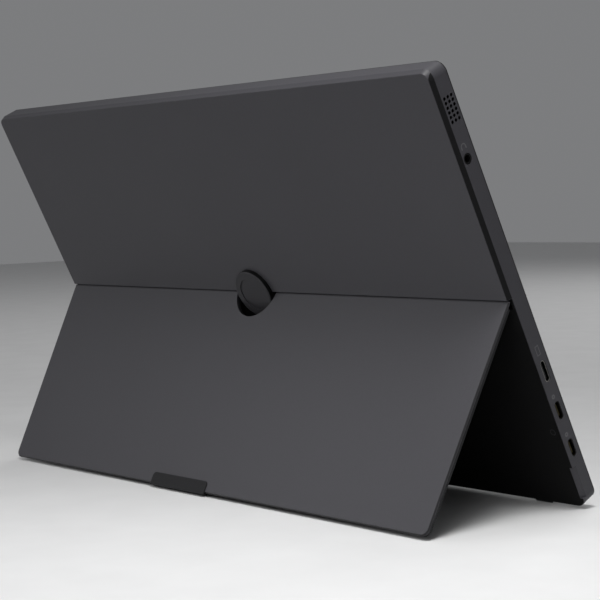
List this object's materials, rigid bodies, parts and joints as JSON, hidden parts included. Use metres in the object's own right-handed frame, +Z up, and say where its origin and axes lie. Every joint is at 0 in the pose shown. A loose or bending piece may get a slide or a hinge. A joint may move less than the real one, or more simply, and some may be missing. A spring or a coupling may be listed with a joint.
{
  "type": "portable monitor",
  "caption": "Slim portable monitor leaning on a full-width rear kickstand, with edge ports, speaker grilles and a covered tripod socket.",
  "frame": {"origin": "middle of the object's bounding box, on the ground", "axes": "+Z up, +X across the display, screen facing -Y, kickstand on the +Y side"},
  "size_m": [0.3602, 0.11, 0.209],
  "materials": {
    "housing": "fine satin, dark grey",
    "stand_panel": "fine satin coating, dark grey",
    "stand_liner": "matt, near black",
    "bezel": "matt black",
    "screen": "anti-glare, dark when off",
    "film": "clear acrylic and films",
    "tray": "plain sheet",
    "board": "green lacquer",
    "chip": "moulded black",
    "cable": "amber film",
    "port": "nickel plated",
    "jack": "moulded black",
    "speaker": "moulded black",
    "mesh": "woven black",
    "brass": "turned",
    "steel": "plain steel",
    "rubber": "matt rubber",
    "cover": "satin rubber, dark grey",
    "keys": "satin, dark grey"
  },
  "bodies": {
    "display": {"audio_board": "board", "board_screws": "steel", "board_shield": "tray", "bottom_pad_left": "rubber", "bottom_pad_right": "rubber", "bracket_screws_left": "steel", "bracket_screws_right": "steel", "cover_pivot": "steel", "front_bezel": "bezel", "headphone_jack": "jack", "hinge_bracket_left": "steel", "hinge_bracket_right": "steel", "hinge_pin_left": "steel", "hinge_pin_right": "steel", "hinge_washers_left": "steel", "hinge_washers_right": "steel", "key_board": "board", "key_switches": "chip", "lcd_panel": "screen", "led_bar": "board", "light_guide": "film", "main_board": "board", "mini_hdmi_port": "port", "optical_sheets": "film", "panel_board": "board", "panel_cable": "cable", "panel_tray": "tray", "plate_screws": "steel", "rear_cover": "housing", "scaler_chip": "chip", "speaker_left": "speaker", "speaker_mesh_left": "mesh", "speaker_mesh_right": "mesh", "speaker_right": "speaker", "tripod_insert": "brass", "tripod_plate": "tray", "usb_c_port_lower": "port", "usb_c_port_upper": "port"},
    "kickstand": {"kickstand_panel": "stand_panel", "kickstand_liner": "stand_liner", "kickstand_foot": "rubber", "hinge_leaf_left": "steel", "hinge_leaf_right": "steel", "leaf_screws": "steel"},
    "socket_cover": {"socket_cover": "cover"},
    "power_button": {"power_button": "keys"},
    "menu_rocker": {"menu_rocker": "keys"}
  },
  "joints": [
    {"name": "stand_hinge", "type": "hinge", "parent": "display", "child": "kickstand", "pos_m": [-0.0002, 0.00126, 0.10097], "axis": [1, 0, 0], "range_deg": [-52.4, 22.6]},
    {"name": "socket_cover_swivel", "type": "hinge", "parent": "display", "child": "socket_cover", "pos_m": [0.0088, 0.00671, 0.10679], "axis": [0, 0.9021, -0.4316], "range_deg": [0, 140]},
    {"name": "power_press", "type": "slide", "parent": "display", "child": "power_button", "axis": [-1, 0, 0], "range_m": [0, 0.0004], "stiffness_N_per_m": 2000},
    {"name": "menu_tilt", "type": "hinge", "parent": "display", "child": "menu_rocker", "pos_m": [0.17685, 0.0163, 0.14144], "axis": [0, 0.9021, -0.4316], "range_deg": [-2.2, 2.2], "stiffness_Nm_per_rad": 0.2}
  ]
}
